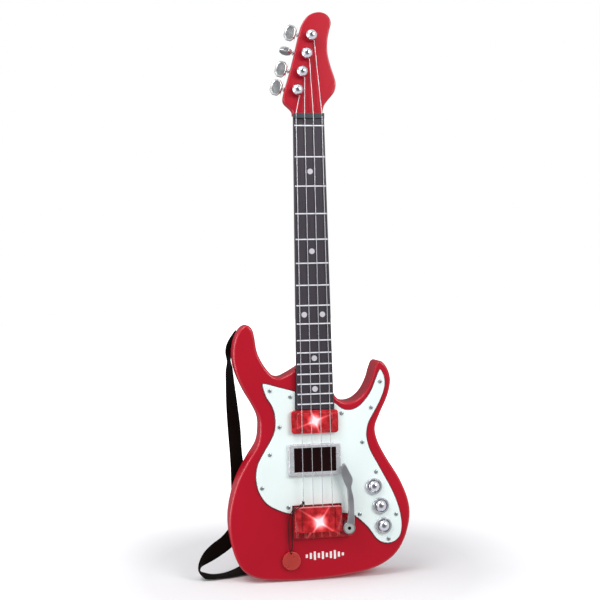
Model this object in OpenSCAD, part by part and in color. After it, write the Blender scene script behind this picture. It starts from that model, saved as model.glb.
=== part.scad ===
// Toy electric guitar with light-up pickup covers, sound buttons, whammy arm, strap and pick.
// Lengths are millimetres. Drawn with X to the right, Y towards the back and Z up from the
// bottom of the body, then moved so that the origin is where a hanger holds the neck.

/* [Body] */
// Depth of the body from front face to back face
body_depth = 40; // [38:1:44]
// Wall thickness of the two body shells
wall = 2.5; // [2.2:0.1:2.8]
// Depth of the front body shell
front_depth = 22; // [20:1:23]
// Thickness of the pickguard
guard_t = 2; // [1.8:0.1:2.2]

/* [Neck] */
// Width of the neck where it ends on the body
heel_w = 44; // [42:0.5:46]
// Width of the neck at the nut
nut_w = 36.4; // [35:0.2:38]
// Thickness of the fretboard
board_t = 5; // [4:0.5:6]
// Thickness of the neck behind the fretboard
neck_t = 15; // [14:0.5:15]
// Distance from the first to the second fret line
fret_pitch = 36.6; // [34:0.1:37]

/* [Headstock] */
// Thickness of the headstock
head_t = 14; // [13:0.5:15]
// Thickness of the headstock's back cover
cover_t = 3; // [2.5:0.5:3.5]
// Distance between two tuner posts
post_pitch = 22.4; // [21.5:0.1:22.6]
// Angle of the row of tuner posts from the neck
post_lean = 15.5; // [14.5:0.5:16.5]

/* [Moving parts] */
// Travel of a sound button
button_travel = 2; // [1:0.5:2.5]
// Radius of a button cap
button_r = 7.1; // [6.5:0.1:7.2]
// Radius of the whammy arm's hub
hub_r = 7; // [6.5:0.5:7.5]

/* [Strings, cord and strap] */
// Diameter of a string
string_d = 0.8; // [0.6:0.1:1.2]
// Diameter of the pick's cord
cord_d = 1.1; // [0.9:0.1:1.2]
// Radius of the round pick
pick_r = 10.8; // [10:0.2:12]
// Width of the strap
strap_w = 18; // [16:1:20]
// Thickness of the strap
strap_t = 1.6; // [1.2:0.1:1.8]

/* [Hidden] */

// Where the hanger holds the neck
hang = [0, -14.5, 540];

// Levels along Y
front = -body_depth / 2;
back = body_depth / 2;
joint = front + front_depth;
guard_y = front - guard_t;
fret_y = -27;
neck_y = fret_y + board_t;
neck_back_y = neck_y + neck_t;
head_y = -20;
head_back_y = head_y + head_t;
cover_y = head_back_y - cover_t;
bridge_y = -33;
base_y = -24;

// Levels along Z
heel_z = 202;
nut_z = 543.4;
head_z = 549.6;
pocket_z = 252;

// Levels of the sound buttons' flanges, rubber domes and board
flange_y = front + wall + 0.6;
dome_top = flange_y + 1.55;
board_y = dome_top + button_travel + 2.35;

// Smooth curves, each drawn with a number of steps between two points
curve_steps = 4;
head_steps = 5;
function between(a, b, c, d, t) = 0.5 * (2 * b + (c - a) * t
    + (2 * a - 5 * b + 4 * c - d) * t * t + (3 * b - a - 3 * c + d) * t * t * t);
function closed_curve(p, n) = let (m = len(p)) [for (i = [0:m - 1], k = [0:n - 1])
    between(p[(i + m - 1) % m], p[i], p[(i + 1) % m], p[(i + 2) % m], k / n)];
function open_curve(p, n) = let (m = len(p) - 1) [for (i = [0:m - 1], k = [0:n - 1])
    between(p[max(i - 1, 0)], p[i], p[i + 1], p[min(i + 2, m)], k / n), p[m]];
function arc(x, y, r, a0, a1, n) = [for (k = [0:n])
    [x + r * cos(a0 + (a1 - a0) * k / n), y + r * sin(a0 + (a1 - a0) * k / n)]];
function unit(v) = v / norm(v);
function tangent(p, i) = unit(p[min(i + 1, len(p) - 1)] - p[max(i - 1, 0)]);

// Body outline, from the left of the neck round by the horn, the bottom and back to the neck
body_points = [[-20, 249], [-29, 244], [-40, 239.5], [-50, 243.5], [-60, 256.5], [-66.5, 271],
    [-69, 287], [-71.5, 297], [-77, 302.3], [-84, 299.5], [-90, 290.5], [-94, 277], [-94.5, 262],
    [-91, 245], [-82, 224], [-72, 206.5], [-66, 193], [-65, 180], [-68, 162], [-80, 143],
    [-93, 119], [-101, 92], [-103.5, 68], [-100, 40], [-90, 17], [-72, 5.2], [-42, 0.9], [-5, 0],
    [35, 3], [68, 9], [92, 22], [106, 42], [113, 68], [111, 90], [101, 115], [86, 140],
    [76, 160], [73, 177], [80, 195], [89, 214], [93, 232], [90, 246], [83.5, 254.8],
    [77.5, 254.8], [73.3, 246], [69, 233], [61, 219], [50, 210], [38, 208], [28, 213],
    [22, 223], [19.5, 240], [15, 251], [0, 252.5], [-14, 252]];

// Pickguard outline; the neck and the bridge are cut out of it
guard_points = [[-61.5, 232], [-58, 218.5], [-51.5, 207.5], [-48, 197], [-47.4, 186], [-49, 176],
    [-54, 165.5], [-63, 151], [-69.5, 138], [-71.5, 123], [-69, 108], [-60, 93], [-45.5, 84],
    [-30, 79], [0, 76], [28, 77], [44.5, 73], [59, 60.5], [65, 52.5], [70, 45.5], [76, 40.5],
    [84.5, 38.3], [93.5, 40.3], [100, 47], [102.5, 58], [101.5, 71], [97.5, 87], [90, 105],
    [81, 122], [73.5, 136], [66, 150.5], [62.3, 164], [62.2, 174], [65, 184], [72, 196],
    [79, 208.5], [84, 220.5], [85.7, 229.5], [84.7, 238], [81.5, 245], [78.5, 245], [73.4, 234],
    [69, 223], [62.5, 213], [55.5, 205], [48.5, 201], [41, 199.4], [32.5, 201.5], [22, 209.5],
    [0, 217], [-23, 223.5], [-42, 229], [-58, 233.6]];

// Headstock outline, from the left of the nut round by the tip to the right of the nut
head_points = [[-17.5, 549.6], [-18.4, 554.5], [-22.5, 559], [-27.2, 563.6], [-28.6, 569],
    [-26.3, 579.5], [-21.7, 594], [-16.2, 613], [-11.5, 631], [-7.2, 647.5], [-3.2, 659],
    [5, 668], [16.5, 671.3], [26, 668], [30.3, 659.5], [28, 649], [25.8, 638], [25.5, 623],
    [28.8, 607.5], [32.8, 595], [34.6, 585.5], [32.3, 576.4], [26, 568.5], [20.5, 561.5],
    [18.2, 555], [17.5, 549.6]];

// Whammy arm outline, up the right side and down the left
arm_points = [[41.8, 66], [42.4, 80], [42, 96], [39.9, 106.5], [39.7, 111], [41.2, 119.5],
    [37, 129], [32.4, 137.4], [28.8, 134.5], [27.8, 127], [30.8, 117], [34.2, 109], [35.1, 104],
    [35.5, 95], [36, 82], [34, 68]];

guard_screws = [[-53, 225], [-29, 217], [-42.6, 182], [-54.6, 150], [-64.6, 111.3], [-34, 87.4],
    [32, 195.5], [67.7, 201], [79.3, 231.5], [56.2, 160.2], [72, 124.3], [51.3, 74.8],
    [95.3, 72.6], [85.5, 43.7]];
case_screws = [[-82, 262], [76, 214], [-57, 192], [62, 176], [-94, 80], [101, 61], [-72, 22],
    [72, 22]];
heel_screws = [[-12, 214], [12, 214], [-12, 240], [12, 240]];
head_screws = [[18, 652], [20, 590], [-17, 566], [16, 566], [0, 560]];
buttons = [[69, 107.5], [76.8, 84], [79.8, 60.2]];
hub = [36, 62];
board_posts = [[61, 54], [61, 92], [89, 94]];
main_posts = [[-80, 56], [-40, 56], [-80, 108], [-40, 108]];
pegs = [[-84, 286], [-8, 14]];
speaker_at = [70, 72];
dot_r = 3.3;

// Fret lines: the long spaces shrink evenly, the short ones near the body level out
long_spaces = 9;
function fret_space(i) = i < long_spaces ? fret_pitch - 2.15 * i
    : max(11.7, 14.5 - 1.3 * (i - long_spaces));
function fret_z(i) = i == 0 ? 535 : fret_z(i - 1) - fret_space(i - 1);
function mid_space(i) = (fret_z(i) + fret_z(i + 1)) / 2;
fret_count = 16;
dots = [[0, mid_space(1)], [0, mid_space(4)], [-10.8, mid_space(7)], [10.8, mid_space(7)],
    [0, mid_space(10)], [0, mid_space(13)]];
function neck_half(z) = (heel_w + (nut_w - heel_w) * (z - heel_z) / (nut_z - heel_z)) / 2;

// Tuners: post 1 is at the tip, and each key points square off the row of posts
post_last = [-12.2, 577.6];
function post_at(i) = post_last + (4 - i) * post_pitch * [sin(post_lean), cos(post_lean)];
key_drop = 1.5;
key_y = -13;
stem_r = 1.5;

// Strings, numbered like the posts
string_nut_x = [15.3, 5.1, -5.1, -15.3];
string_bridge_x = [17.2, 5.7, -5.7, -17.2];
string_nut_y = -28.3;
string_bridge_y = -30;

// Pick cord: tied to the lowest string, round the bridge, down, through the pick and back up
cord_y = front - 3.1;
cord_route = [[-19.6, -33, 93], [-24, -33.6, 90.6], [-29, -32.2, 87], [-32, -28, 81.5],
    [-33.8, -24.6, 75], [-34.3, cord_y, 67], [-34.4, cord_y, 58], [-34.5, cord_y, 48],
    [-34.3, -23.6, 40], [-33.2, -24.9, 35.4], [-32.2, -24.4, 33.6], [-31.7, -22.4, 33.2],
    [-31.3, -21.3, 34.4], [-30.6, -21.6, 38], [-30.2, cord_y, 45], [-30.2, cord_y, 54],
    [-30.3, cord_y, 63], [-30.3, -24, 71], [-30, -28, 78.5], [-29.2, -33.6, 84.6],
    [-24.4, -35.4, 88.8], [-19, -34.8, 91]];
pick_at = [-31.7, 24.6];
pick_hole = [-31.7, 33.2];

// Strap: a point on its middle line, then the direction of its width
strap_route = [
    [[-81.5, 21.3, 290], [-0.8, 0, 0.6]],
    [[-84, 21.5, 287], [-0.8, 0, 0.6]],
    [[-89, 22, 279.5], [-0.8, 0, 0.6]],
    [[-93.5, 24.5, 270.5], [-0.75, -0.55, 0.3]],
    [[-96.5, 27, 260], [-0.3, -1, 0]],
    [[-96.3, 28.5, 248], [-0.5, -0.85, 0]],
    [[-95.5, 29, 230], [-0.62, -0.78, 0]],
    [[-94, 29, 205], [-0.78, -0.62, 0]],
    [[-91.8, 29, 175], [-0.88, -0.47, 0]],
    [[-90.5, 28, 147], [-0.85, -0.52, 0]],
    [[-89, 27, 125], [-0.93, -0.35, 0]],
    [[-88.3, 26.3, 105], [-1, -0.1, 0]],
    [[-88.2, 26, 85], [-1, 0, 0]],
    [[-89, 26, 68], [-1, 0, 0.12]],
    [[-94, 25.5, 51], [-0.8, 0, 0.5]],
    [[-105, 23, 39.5], [-0.5, 0, 0.86]],
    [[-118, 18, 32], [-0.45, -0.1, 0.9]],
    [[-129, 14, 25], [-0.45, -0.5, 0.7]],
    [[-136.5, 12, 16.5], [-0.3, -0.9, 0.35]],
    [[-137.6, 12, 8.5], [0, -1, 0.1]],
    [[-131, 13, 3.4], [0, -1, -0.1]],
    [[-119, 15, 1.6], [0, -1, 0]],
    [[-104, 18.5, 1.6], [0, -1, -0.05]],
    [[-88, 23.5, 3.8], [0, -0.9, -0.3]],
    [[-72, 26.5, 8], [0, -0.4, -0.85]],
    [[-54, 25.5, 11], [0, -0.08, -1]],
    [[-32, 23.2, 13], [0, 0, -1]],
    [[-9, 21.6, 14], [0, 0, -1]],
    [[-3.2, 21.3, 14.2], [0, 0, -1]]];

// Colours
red = "#b02032";
clear_red = [0.75, 0.08, 0.1, 0.7];
chrome = "#c9ccd0";
grey = "#8d8f92";
black = "#1d1b1a";

// Building blocks
module placed() translate(-hang) children();

module slab(y0, y1) translate([0, y1, 0]) rotate([90, 0, 0]) linear_extrude(y1 - y0) children();

module rod(at, r, y0, y1, fn = 32) translate([at[0], y0, at[1]]) rotate([-90, 0, 0])
    cylinder(r = r, h = y1 - y0, $fn = fn);

module turned(at, profile, fn = 48) translate([at[0], 0, at[1]]) rotate([-90, 0, 0])
    rotate_extrude($fn = fn) polygon(profile);

module block(x0, x1, y0, y1, z0, z1) translate([x0, y0, z0]) cube([x1 - x0, y1 - y0, z1 - z0]);

module plate(x, z, w, h, r) translate([x, z]) offset(r = r, $fn = 24)
    square([w - 2 * r, h - 2 * r], center = true);

// Closed solid through rings of points, all with the same number of points
module skin(rings) {
    n = len(rings[0]);
    m = len(rings);
    sides = [for (i = [0:m - 2], k = [0:n - 1]) let (j = (k + 1) % n)
        each [[i * n + k, (i + 1) * n + j, i * n + j], [i * n + k, (i + 1) * n + k, (i + 1) * n + j]]];
    ends = [[for (k = [0:n - 1]) k], [for (k = [n - 1:-1:0]) (m - 1) * n + k]];
    polyhedron([for (ring = rings) each ring], concat(sides, ends), convexity = 8);
}

// Round tube along a path; the reference direction is never along the path
module tube(path, r, sides, reference) skin([for (i = [0:len(path) - 1])
    let (t = tangent(path, i), a = unit(cross(reference, t)), b = cross(t, a))
    [for (k = [0:sides - 1]) path[i] + r * (cos(360 * k / sides) * a + sin(360 * k / sides) * b)]]);

module body_outline() polygon(closed_curve(body_points, curve_steps));
module head_outline() polygon(open_curve(head_points, head_steps));
module neck_plan(z0, z1, gap = 0) polygon([[-neck_half(z0) - gap, z0], [-neck_half(z1) - gap, z1],
    [neck_half(z1) + gap, z1], [neck_half(z0) + gap, z0]]);

module round_hex(at, r, y0, y1) rod(at, r, y0, y1, 6);

// Screw along Y with its domed head towards -Y when side is 1, or towards +Y when it is -1
module screw(at, y, side, head_r, head_h, shank_r, length) translate([at[0], y, at[1]])
    rotate([-90 * side, 0, 0]) difference() {
        rotate_extrude($fn = 32) polygon([[0, -head_h], [head_r * 0.55, -head_h * 0.9],
            [head_r, -head_h * 0.35], [head_r, 0], [shank_r, 0], [shank_r, length], [0, length]]);
        for (a = [0, 90]) rotate(a) translate([-head_r * 0.6, -0.35, -head_h - 1])
            cube([head_r * 1.2, 0.7, 1.5]);
    }

// Body shells
module front_body_shell() color(red) placed() difference() {
    union() {
        difference() {
            slab(front, joint) body_outline();
            slab(front + wall, joint + 1) offset(delta = -wall) body_outline();
        }
        slab(front + wall / 2, neck_back_y + wall + 0.2) intersection() {
            neck_plan(heel_z - wall, pocket_z + 10, wall);
            offset(delta = -wall / 2) body_outline();
        }
        for (p = case_screws) rod(p, 3.5, front + wall / 2, joint);
        for (p = board_posts) rod(p, 2.2, front + wall / 2, board_y);
    }
    slab(front - 1, neck_back_y + 0.2) neck_plan(heel_z - 0.2, pocket_z + 20, 0.2);
    for (p = case_screws) rod(p, 1.3, front + wall + 1, joint + 1);
    for (p = heel_screws) rod(p, 1.7, neck_back_y, neck_back_y + wall + 2);
    for (p = guard_screws) rod(p, 1.25, front - 1, front + wall + 1);
    for (p = buttons) rod(p, button_r + 1.55, front - 1, front + wall + 1, 48);
    rod(hub, 4.05, front - 1, front + wall + 1);
}

door = [0, 112];
door_w = 56;
door_h = 66;
door_screw = [0, 142.5];
tray_w = 49;
tray_h = 56;
switch_at = [-57, 150];

module rear_body_shell() color(red) placed() difference() {
    union() {
        difference() {
            slab(joint, back) body_outline();
            slab(joint - 1, back - wall) offset(delta = -wall) body_outline();
        }
        slab(back - 5, back - wall / 2) plate(door[0], door[1], door_w + 4, door_h + 4, 3);
        slab(0.5, back - wall / 2) plate(door[0], door[1], tray_w + 3.2, tray_h + 3.2, 2);
        for (p = case_screws) rod(p, 4.6, joint, back - wall / 2);
        for (p = heel_screws) rod(p, 4.6, neck_back_y + wall + 0.4, back - wall / 2);
        for (p = main_posts) rod(p, 2.2, -2.4, back - wall / 2);
    }
    slab(2, back + 1) plate(door[0], door[1], tray_w, tray_h, 1);
    slab(back - 2.2, back + 1) plate(door[0], door[1], door_w, door_h, 3);
    rod(door_screw, 1.2, back - 6, back);
    for (p = concat(case_screws, heel_screws)) {
        rod(p, 1.7, -20, back);
        rod(p, 3.4, 12, back + 1);
    }
    for (k = [-4:4]) block(speaker_at[0] + 4.6 * k - 1.1, speaker_at[0] + 4.6 * k + 1.1,
        back - wall - 1, back + 1, speaker_at[1] - sqrt(400 - pow(4.6 * k, 2)),
        speaker_at[1] + sqrt(400 - pow(4.6 * k, 2)));
    block(switch_at[0] - 6.5, switch_at[0] + 6.5, back - wall - 1, back + 1,
        switch_at[1] - 2.4, switch_at[1] + 2.4);
    for (p = pegs) rod(p, 2.05, back - wall - 1, back + 1);
}

module body_screws() color(grey) placed()
    for (p = case_screws) screw(p, 12, -1, 3, 2, 1.25, 20);

module neck_screws() color(grey) placed()
    for (p = heel_screws) screw(p, 12, -1, 3, 2, 1.25, 28);

module pickguard() color("#f2fdfa") placed() difference() {
    slab(guard_y, front) polygon(closed_curve(guard_points, curve_steps));
    slab(guard_y - 1, front + 1) {
        neck_plan(heel_z - 0.4, pocket_z, 0.4);
        translate([-28.8, 30]) square([57.6, 58.3]);
        translate([28, 30]) square([17.4, 43]);
    }
    for (p = guard_screws) rod(p, 1.3, guard_y - 1, front + 1);
    for (p = buttons) rod(p, button_r + 1.55, guard_y - 1, front + 1, 48);
}

module pickguard_screws() color(grey) placed()
    for (p = guard_screws) screw(p, guard_y, 1, 2.5, 1.1, 1.2, 7);

// Neck
module fret_bars() for (i = [0:fret_count - 1]) block(-neck_half(fret_z(i)) + 0.8,
    neck_half(fret_z(i)) - 0.8, fret_y - 0.6, fret_y + 0.8, fret_z(i) - 0.75, fret_z(i) + 0.75);

module fretboard() color("#403a42") placed() difference() {
    slab(fret_y, neck_y) neck_plan(heel_z, nut_z);
    fret_bars();
    for (p = dots) rod(p, dot_r, fret_y - 1, fret_y + 0.8);
}

module frets() color("#e2e3e6") placed() fret_bars();

module fret_markers() color("#c8c3c9") placed()
    for (p = dots) rod(p, dot_r, fret_y - 0.2, fret_y + 0.8);

// Half-round cross-section of the neck at height z, with its flat side at the level flat_y
function neck_ring(z, half, depth, flat_y) = [[half, flat_y, z], for (k = [1:15])
    [half * cos(180 * k / 16), neck_y + depth * pow(sin(180 * k / 16), 0.8), z], [-half, flat_y, z]];

tongue_w = 18;
module neck_back() color("#2b282d") placed() difference() {
    union() {
        skin([neck_ring(heel_z, neck_half(heel_z), neck_t, neck_y),
            neck_ring(head_z, neck_half(head_z), neck_t, neck_y)]);
        block(-tongue_w / 2, tongue_w / 2, head_y + 3, cover_y - 0.1, head_z - 1, head_z + 18);
    }
    skin([neck_ring(pocket_z + 8, neck_half(pocket_z) - 3, neck_t - 3, neck_y - 1),
        neck_ring(nut_z - 12, neck_half(nut_z) - 3, neck_t - 3, neck_y - 1)]);
    for (p = heel_screws) rod(p, 1.3, -19, neck_back_y + 1);
    rod(head_screws[4], 1.1, -16, cover_y + 1);
}

module nut() color("#3a4046") placed() difference() {
    block(-nut_w / 2, nut_w / 2, string_nut_y - 0.5, neck_y, nut_z + 0.1, head_z);
    for (x = string_nut_x) block(x - 0.9, x + 0.9, string_nut_y - 1, string_nut_y + 0.75,
        nut_z - 1, head_z + 1);
}

// Headstock
head_recess = 1.4;
module at_key(i) translate([post_at(i)[0], key_y, post_at(i)[1]])
    rotate([0, post_lean - 180, 0]) translate([0, 0, key_drop]) children();

module along_key(r, u0, u1, fn = 32) translate([u0, 0, 0]) rotate([0, 90, 0])
    cylinder(r = r, h = u1 - u0, $fn = fn);

module headstock_shell() color(red) placed() difference() {
    union() {
        difference() {
            slab(head_y, cover_y) head_outline();
            slab(head_y + 2.2, cover_y + 1) offset(delta = -2.2) head_outline();
        }
        for (i = [0:3]) rod(head_screws[i], 3, head_y + 1, cover_y);
        for (i = [1:4]) at_key(i) along_key(3.2, 11, 13);
    }
    block(-tongue_w / 2 - 0.1, tongue_w / 2 + 0.1, head_y + 2.9, cover_y + 1, head_z - 1, head_z + 3);
    for (i = [0:3]) rod(head_screws[i], 1.1, head_y + 3, cover_y + 1);
    for (i = [1:4]) {
        rod(post_at(i), 2.55, head_y - 1, head_y + 3);
        at_key(i) along_key(stem_r + 0.05, 8, 17);
    }
}

module headstock_cover() color(red) placed() difference() {
    slab(cover_y, head_back_y) head_outline();
    for (p = head_screws) {
        rod(p, 1.4, cover_y - 1, head_back_y + 1);
        rod(p, 2.8, head_back_y - head_recess, head_back_y + 1);
    }
}

module headstock_screws() color(grey) placed()
    for (p = head_screws) screw(p, head_back_y - head_recess, -1, 2.4, 1.2, 1, 8);

// Domed cap on a short barrel that the string ties to, with a stem through the headstock
module tuner_post(i) color(chrome) placed() turned(post_at(i), concat([[0, head_y + 4],
    [2.5, head_y + 4], [2.5, head_y], [6.2, head_y], [6.2, head_y - 0.8], [4.6, head_y - 1],
    [4.6, head_y - 2.8], [6.9, head_y - 3]], arc(0, head_y - 4.6, 6.9, 0, -80, 9),
    [[0, head_y - 11.5]]));

paddle = [13.7, 18.7, 6];
module octagon(l, w) polygon([for (s = [[1, 1], [-1, 1], [-1, -1], [1, -1]],
    c = s[0] * s[1] > 0 ? [[1, 0.5], [0.44, 1]] : [[0.44, 1], [1, 0.5]])
    [s[0] * c[0] * l / 2, s[1] * c[1] * w / 2]]);

// Stem with a snap barb inside the headstock and an octagonal paddle outside, turned by spin
module tuner_key(i, spin) color("#e6e4e0") placed() at_key(i) rotate([spin, 0, 0]) union() {
    along_key(stem_r, 5, 19);
    along_key(2.3, 8.6, 10.6);
    along_key(2.6, 14.6, 15.8);
    translate([24.3, 0, 0]) hull() {
        translate([0, 0, -paddle[2] / 4]) linear_extrude(paddle[2] / 2)
            octagon(paddle[0], paddle[1]);
        translate([0, 0, -paddle[2] / 2]) linear_extrude(paddle[2])
            octagon(paddle[0] - 3.4, paddle[1] - 3.6);
    }
}

// Strings
module bar_between(a, b, r) translate(a) rotate([0, acos((b - a)[2] / norm(b - a)),
    atan2((b - a)[1], (b - a)[0])]) cylinder(r = r, h = norm(b - a), $fn = 16);

module string(i) color("#d9dadb") placed() {
    low = [string_bridge_x[i - 1], string_bridge_y, 82];
    top = [string_nut_x[i - 1], string_nut_y, head_z - 0.4];
    tie = [post_at(i)[0] + 3.2, head_y - 1.9, post_at(i)[1] - 3];
    union() {
        bar_between(low, top, string_d / 2);
        translate(top) sphere(d = string_d + 0.1, $fn = 24);
        bar_between(top, tie, string_d / 2);
    }
}

module string_anchor() color(chrome) placed() difference() {
    block(-21, 21, -31, front - 0.05, 76, 82);
    for (x = string_bridge_x) translate([x, string_bridge_y, 75])
        cylinder(r = 0.9, h = 8, $fn = 24);
}

// Pickups
cover_at = [-1, 187.4];
module neck_pickup_cover() color(clear_red) placed() difference() {
    union() {
        slab(guard_y - 5, guard_y) plate(cover_at[0], cover_at[1], 56, 27.4, 4);
        slab(guard_y - 6, guard_y - 4) plate(cover_at[0], cover_at[1], 42, 20.6, 2.5);
    }
    slab(guard_y - 3.6, guard_y + 1) plate(cover_at[0], cover_at[1], 52.8, 24.2, 2.4);
}

module led_board(x, z, w, h, y) {
    slab(y - 1.2, y) plate(x, z, w, h, 1);
    turned([x, z], [[0, y - 1], [2.5, y - 1], [2.5, y - 2.2], [1.8, y - 2.8], [0, y - 3.1]], 24);
}

module neck_led_board() color("#2e7d4f") placed() led_board(cover_at[0], cover_at[1] + 1, 38, 18,
    guard_y);

frame_at = [-2, 142.4];
module pickup_frame() color(chrome) placed() difference() {
    union() {
        slab(guard_y - 3, guard_y) plate(frame_at[0], frame_at[1], 62.6, 38, 2);
        slab(guard_y - 4.5, guard_y - 2) plate(frame_at[0], frame_at[1], 60.2, 35.6, 1.5);
    }
    slab(guard_y - 6, guard_y + 1) plate(frame_at[0] + 0.6, frame_at[1] + 0.3, 50.2, 28.6, 0.6);
}

module pickup_window() color("#24060a") placed() slab(guard_y - 2.6, guard_y)
    plate(frame_at[0] + 0.6, frame_at[1] + 0.3, 50, 28.4, 0.5);

// Bridge
module bridge_cover() color(clear_red) placed() difference() {
    union() {
        slab(base_y, front) union() {
            plate(0, 69, 57, 38, 2);
            plate(30, 61.2, 30, 22.4, 7);
        }
        slab(bridge_y, base_y + 1) plate(0, 73.5, 56, 29, 1.5);
        for (k = [-2.5:2.5]) translate([9.75 * k, base_y, 51.2]) cylinder(r = 1.5, h = 8.6, $fn = 24);
        slab(bridge_y - 0.7, bridge_y + 1) translate([-27.4, 59.2]) square([54.8, 1.2]);
        for (k = [0:3]) slab(bridge_y - 0.8, bridge_y + 1)
            plate(string_bridge_x[k], 83.2, 6.4, 6.2, 0.8);
    }
    slab(base_y + 2, front + 1) plate(0, 69, 53, 34, 1);
    slab(bridge_y + 2, base_y + 3) plate(0, 73.5, 52, 25, 1);
    for (x = [-19.5, 19.5]) block(x - 0.9, x + 0.9, bridge_y - 2, bridge_y + 1.2, 61.5, 87);
    for (k = [0:3]) translate([string_bridge_x[k], string_bridge_y, 84])
        cylinder(r = 0.9, h = 6, $fn = 24);
    rod(hub, 4.4, base_y - 1, front + 1);
}

module bridge_led_board() color("#2e7d4f") placed() led_board(1, 67.5, 26, 13, front);

// Whammy arm on its shaft
hub_y = base_y - 11;
module whammy_arm() color(grey) placed() difference() {
    union() {
        slab(hub_y, hub_y + 5) polygon(closed_curve(arm_points, curve_steps));
        turned(hub, [[0, base_y - 0.3], [hub_r, base_y - 0.3], [hub_r, hub_y + 0.6],
            [hub_r - 0.6, hub_y], [0, hub_y]]);
    }
    rod(hub, 1.6, hub_y - 1, base_y + 1);
    rod(hub, hub_r - 1.2, hub_y - 1, hub_y + 3.5);
}

module whammy_screw() color("#a9abae") placed() difference() {
    turned(hub, [[0, hub_y + 0.4], [hub_r - 1.3, hub_y + 0.4], [hub_r - 1.3, hub_y + 3.5],
        [1.5, hub_y + 3.5], [1.5, base_y + 6], [0, base_y + 6]]);
    round_hex(hub, 2, hub_y - 1, hub_y + 2.9);
}

module whammy_shaft() color("#dcdcd8") placed() difference() {
    turned(hub, [[0, base_y - 0.3], [4, base_y - 0.3], [4, front + wall + 0.3],
        [6.5, front + wall + 0.3], [6.5, front + wall + 1.8], [4, front + wall + 1.8], [4, -9],
        [0, -9]]);
    rod(hub, 1.6, base_y - 1, base_y + 7);
}

spring_turns = 4;
module whammy_spring() color(chrome) placed() tube([for (k = [0:spring_turns * 10])
    [hub[0] + 5 * cos(36 * k), -14.6 + 1.3 * k / 10, hub[1] + 5 * sin(36 * k)]], 0.45, 6, [0, 1, 0]);

// Sound buttons: each rubber dome stands on the board and gives way by the travel
button_top = guard_y - 7;
module button(i) color(chrome) placed() turned(buttons[i - 1], concat([[0, button_top]],
    arc(0, button_top + 7.6, 7.6, -85, -22, 8), [[button_r, button_top + 5.2],
    [button_r, flange_y], [8.4, flange_y], [8.4, flange_y + 1.5], [0, flange_y + 1.5]]));

module button_bezels() color("#70747a") placed() for (p = buttons) turned(p, [[7.4, guard_y - 2.4],
    [7.9, guard_y - 3], [9.2, guard_y - 3], [9.8, guard_y - 2.2], [9.8, guard_y],
    [8.6, guard_y], [8.6, front + wall], [7.4, front + wall]]);

module rubber_dome(i) color("#4a4a4c") placed() turned(buttons[i - 1], [[0, dome_top],
    [2.5, dome_top], [3, dome_top + 1.4], [4.8, board_y - 0.8], [6.4, board_y - 0.8],
    [6.4, board_y], [4.2, board_y], [2, dome_top + 2], [0, dome_top + 2]], 32);

module button_board() color("#2e7d4f") placed() slab(board_y, board_y + 1.6)
    polygon([[57, 50], [93, 50], [93, 98], [82, 119], [57, 119]]);

// Electronics
module main_board() color("#2e7d4f") placed() {
    slab(-4, -2.4) plate(-60, 82, 48, 60, 1.5);
    turned([-60, 84], [[0, -4.8], [6, -4.6], [7.5, -3.9], [0, -3.9]], 32);
    for (x = [-74, -68, -48]) rod([x, 64], 2.4, -9, -3.9, 24);
}

module speaker() color("#3c3c3e") placed() turned(speaker_at, [[0, 4], [11, 4], [11, 9],
    [13, 9.5], [22, 14.8], [24, 15.2], [24, back - wall - 0.1], [21.5, back - wall - 0.1],
    [10, 14.5], [6, 13.2], [0, 12.6]]);

cell_r = 7.1;
module batteries() color("#3f6ea5") placed() for (k = [-1:1]) translate([15.4 * k, 9.6, 86.6])
    mirror([0, 0, k == 0 ? 1 : 0]) translate([0, 0, k == 0 ? -50.8 : 0]) rotate_extrude($fn = 36)
        polygon([[0, 0], [cell_r, 0], [cell_r, 49.3], [2.7, 49.3], [2.7, 50.8], [0, 50.8]]);

module battery_contacts() color("#c9b26a") placed() for (k = [-1:1], z = [84.2, 138.8])
    block(15.4 * k - 5.5, 15.4 * k + 5.5, 4.5, 15, z, z + 1);

module battery_door() color(red) placed() difference() {
    slab(back - 2.1, back) plate(door[0], door[1], door_w - 0.6, door_h - 0.6, 2.8);
    rod(door_screw, 1.5, back - 4, back + 1);
    for (k = [-2:2]) block(-12, 12, back - 0.7, back + 1, 84.6 + 3 * k - 0.7, 84.6 + 3 * k + 0.7);
}

module battery_door_screw() color(grey) placed() screw(door_screw, back, -1, 2.8, 1.4, 1.1, 6);

module power_switch_knob() color(black) placed() union() {
    block(switch_at[0] - 6, switch_at[0] - 0.5, back - wall - 2.4, back + 1.5,
        switch_at[1] - 2.1, switch_at[1] + 2.1);
    block(switch_at[0] - 7.5, switch_at[0] + 1, back - wall - 2.4, back - wall - 0.2,
        switch_at[1] - 3.4, switch_at[1] + 3.4);
}

module power_switch_body() color("#9a9da1") placed()
    block(switch_at[0] - 9, switch_at[0] + 9, 8.5, 14.8, switch_at[1] - 4, switch_at[1] + 4);

// Strap
module strap_pegs() color(chrome) placed() for (p = pegs) turned(p, [[0, back - 5], [2, back - 5],
    [2, back], [4, back], [4, back + 0.3], [2.6, back + 0.5], [2.6, back + 3.4], [5.6, back + 3.6],
    [5.6, back + 4.6], [4.8, back + 5.2], [0, back + 5.4]], 32);

function strap_ring(p, w, i) = let (t = tangent(p, i), side = unit(w[i] - (w[i] * t) * t),
    out = cross(t, side)) [for (c = [[-1, -1], [1, -1], [1, 1], [-1, 1]])
    p[i] + c[0] * side * strap_w / 2 + c[1] * out * strap_t / 2];

module strap() color(black) placed() difference() {
    path = open_curve([for (s = strap_route) s[0]], 3);
    widths = open_curve([for (s = strap_route) s[1]], 3);
    skin([for (i = [0:len(path) - 1]) strap_ring(path, widths, i)]);
    for (p = pegs) rod(p, 2.9, back, back + 4);
}

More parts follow.
